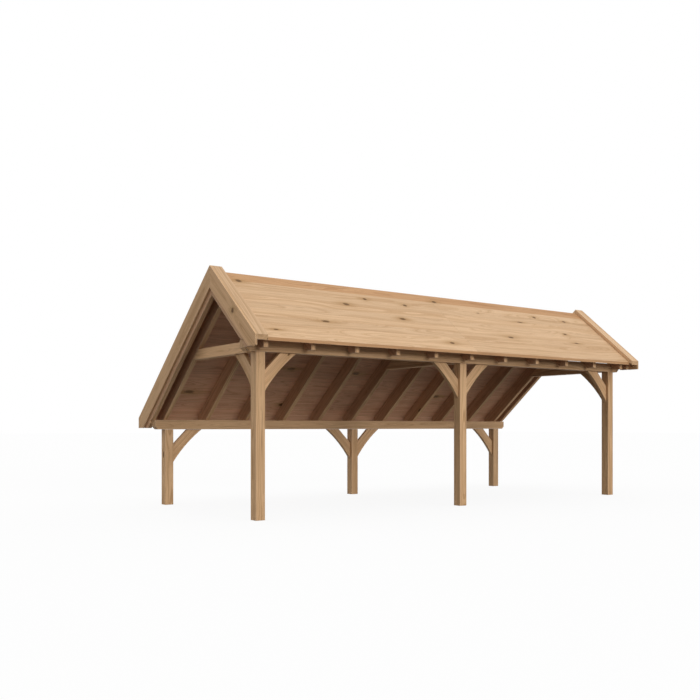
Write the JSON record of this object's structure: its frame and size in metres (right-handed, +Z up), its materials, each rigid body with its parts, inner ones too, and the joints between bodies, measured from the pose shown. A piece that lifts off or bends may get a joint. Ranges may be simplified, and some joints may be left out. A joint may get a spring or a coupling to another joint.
{
  "type": "open-sided garden shelter",
  "caption": "Open-sided timber garden shelter: an uneven gable roof, high at the front and low at the back, on square posts with curved braces, tie beams, rafters and a boarded deck.",
  "frame": {"origin": "middle of the footprint at ground level, under the centre of the roof's outline", "axes": "+X along the length from the left gable to the right gable, -Y towards the open high front, +Z up"},
  "size_m": [7.96, 3.76, 3.481],
  "materials": {
    "frame_timber": "sawn",
    "rafters": "sawn",
    "bargeboards": "planed",
    "roof_boards": "planed"
  },
  "bodies": {
    "root": {"front_post_left": "frame_timber", "front_post_middle": "frame_timber", "front_post_right": "frame_timber", "back_post_left": "frame_timber", "back_post_middle": "frame_timber", "back_post_right": "frame_timber", "front_plate": "frame_timber", "back_plate": "frame_timber", "tie_beam_left": "frame_timber", "tie_beam_middle": "frame_timber", "tie_beam_right": "frame_timber", "rafter_pair_1": "rafters", "rafter_pair_2": "rafters", "rafter_pair_3": "rafters", "rafter_pair_4": "rafters", "rafter_pair_5": "rafters", "rafter_pair_6": "rafters", "rafter_pair_7": "rafters", "rafter_pair_8": "rafters", "rafter_pair_9": "rafters", "rafter_pair_10": "rafters", "rafter_pair_11": "rafters", "verge_rafters_left": "rafters", "verge_rafters_right": "rafters", "bargeboard_front_left": "bargeboards", "bargeboard_back_left": "bargeboards", "bargeboard_front_right": "bargeboards", "bargeboard_back_right": "bargeboards", "cap_board_front_left": "roof_boards", "cap_board_back_left": "roof_boards", "cap_board_front_right": "roof_boards", "cap_board_back_right": "roof_boards", "front_roof_deck": "roof_boards", "back_roof_deck": "roof_boards", "front_brace_left": "frame_timber", "front_brace_middle_left": "frame_timber", "front_brace_middle_right": "frame_timber", "front_brace_right": "frame_timber", "tie_brace_left": "frame_timber", "tie_brace_middle": "frame_timber", "tie_brace_right": "frame_timber", "back_brace_left": "frame_timber", "back_brace_middle_left": "frame_timber", "back_brace_middle_right": "frame_timber", "back_brace_right": "frame_timber"}
  },
  "joints": []
}
